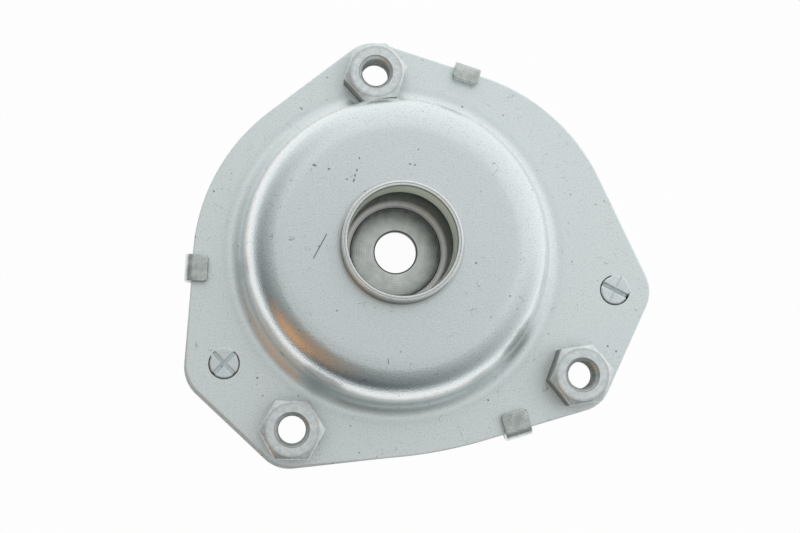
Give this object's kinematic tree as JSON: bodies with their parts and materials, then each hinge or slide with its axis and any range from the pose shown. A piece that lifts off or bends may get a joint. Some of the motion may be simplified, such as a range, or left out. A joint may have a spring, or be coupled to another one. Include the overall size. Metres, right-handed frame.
{
  "type": "strut mount",
  "caption": "Pressed-steel suspension strut mount: domed housing with an upturned neck, captive nuts and a rubber-cushioned bearing bush for the damper's rod.",
  "frame": {"origin": "on the damper rod's axis, level with the upper face of the flange", "axes": "+Z along the rod's axis, out of the dome and neck; +X to the picture's right; +Y to its top"},
  "size_m": [0.1415, 0.1298, 0.0448],
  "materials": {
    "zinc_steel": "zinc-plated, dull silver",
    "nut_steel": "zinc-plated, dull silver",
    "drawn_steel": "drawn and plated",
    "turned_steel": "turned, fine rings",
    "bearing_steel": "ground and polished",
    "cage_steel": "pressed strip",
    "cushion_rubber": "moulded, matt",
    "seal_rubber": "moulded, satin"
  },
  "bodies": {
    "housing": {"upper_housing": "zinc_steel", "lower_plate": "zinc_steel", "weld_nut_top": "nut_steel", "weld_nut_left": "nut_steel", "weld_nut_right": "nut_steel", "rebound_cushion": "cushion_rubber", "jounce_cushion": "cushion_rubber"},
    "core": {"inner_cup": "drawn_steel", "bearing_seat": "drawn_steel", "bearing_outer_race": "bearing_steel", "seal_upper": "seal_rubber", "seal_lower": "seal_rubber"},
    "swivel": {"centre_bush": "turned_steel", "bearing_inner_race": "bearing_steel"},
    "cage": {"cage_upper": "cage_steel", "cage_lower": "cage_steel", "cage_rivets": "cage_steel", "bearing_ball_01": "bearing_steel", "bearing_ball_02": "bearing_steel", "bearing_ball_03": "bearing_steel", "bearing_ball_04": "bearing_steel", "bearing_ball_05": "bearing_steel", "bearing_ball_06": "bearing_steel", "bearing_ball_07": "bearing_steel", "bearing_ball_08": "bearing_steel", "bearing_ball_09": "bearing_steel", "bearing_ball_10": "bearing_steel"}
  },
  "joints": [
    {"name": "core_travel", "type": "slide", "parent": "housing", "child": "core", "axis": [0, 0, 1], "range_m": [-0.004, 0.0025], "stiffness_N_per_m": 60000, "deforming": ["rebound_cushion", "jounce_cushion"]},
    {"name": "bush_turn", "type": "hinge", "parent": "core", "child": "swivel", "pos_m": [0, 0, -0.0068], "axis": [0, 0, 1], "continuous": true},
    {"name": "cage_turn", "type": "hinge", "parent": "core", "child": "cage", "pos_m": [0, 0, -0.0068], "axis": [0, 0, 1], "continuous": true}
  ],
  "couplings": [
    {"joint": "cage_turn", "follows": "bush_turn", "ratio": 0.40846}
  ]
}
